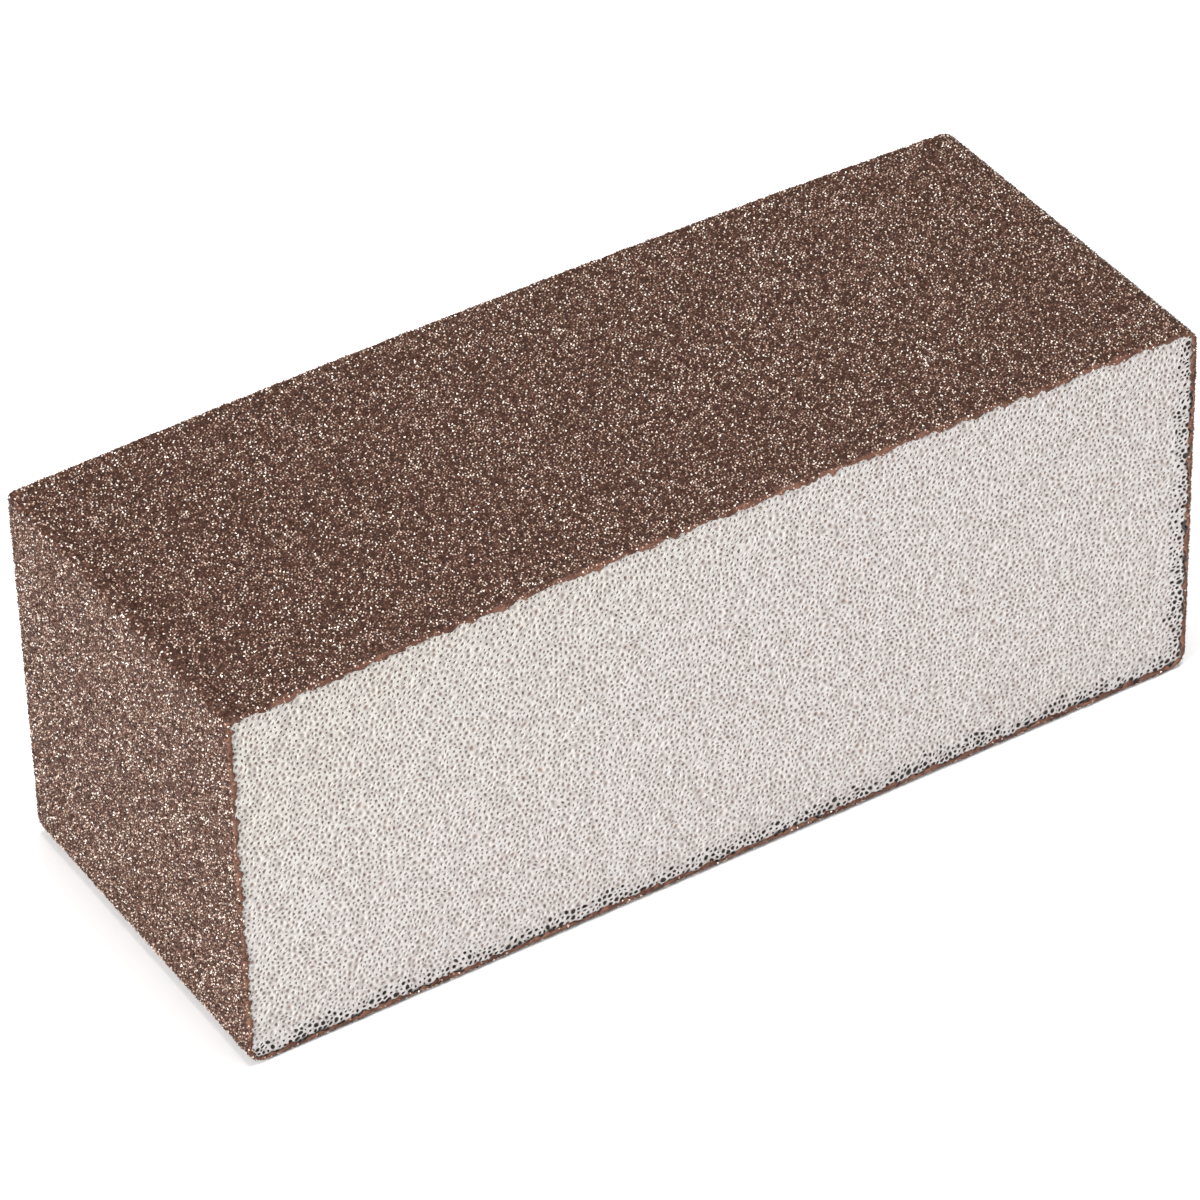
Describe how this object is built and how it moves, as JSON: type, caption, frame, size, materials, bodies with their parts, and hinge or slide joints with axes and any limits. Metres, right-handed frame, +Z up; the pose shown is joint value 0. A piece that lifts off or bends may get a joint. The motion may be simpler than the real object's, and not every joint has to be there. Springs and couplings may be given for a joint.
{
  "type": "sanding block",
  "caption": "Bar of firm foam with an abrasive coat wrapped round its top, underside and ends; the front and back are bare cut foam. Held by hand to sand paint, plaster and wood.",
  "frame": {"origin": "middle of the underside, on the surface that the block lies on", "axes": "+X along the block's length, -Y out of the bare front face, +Z up"},
  "size_m": [0.1, 0.038, 0.039],
  "materials": {
    "foam": "matte",
    "resin": "satin",
    "grit": "matte"
  },
  "bodies": {
    "root": {"foam_core": "foam", "top_resin_coat": "resin", "bottom_resin_coat": "resin", "left_end_resin_coat": "resin", "right_end_resin_coat": "resin", "top_grit_coat": "grit", "bottom_grit_coat": "grit", "left_end_grit_coat": "grit", "right_end_grit_coat": "grit"}
  },
  "joints": []
}
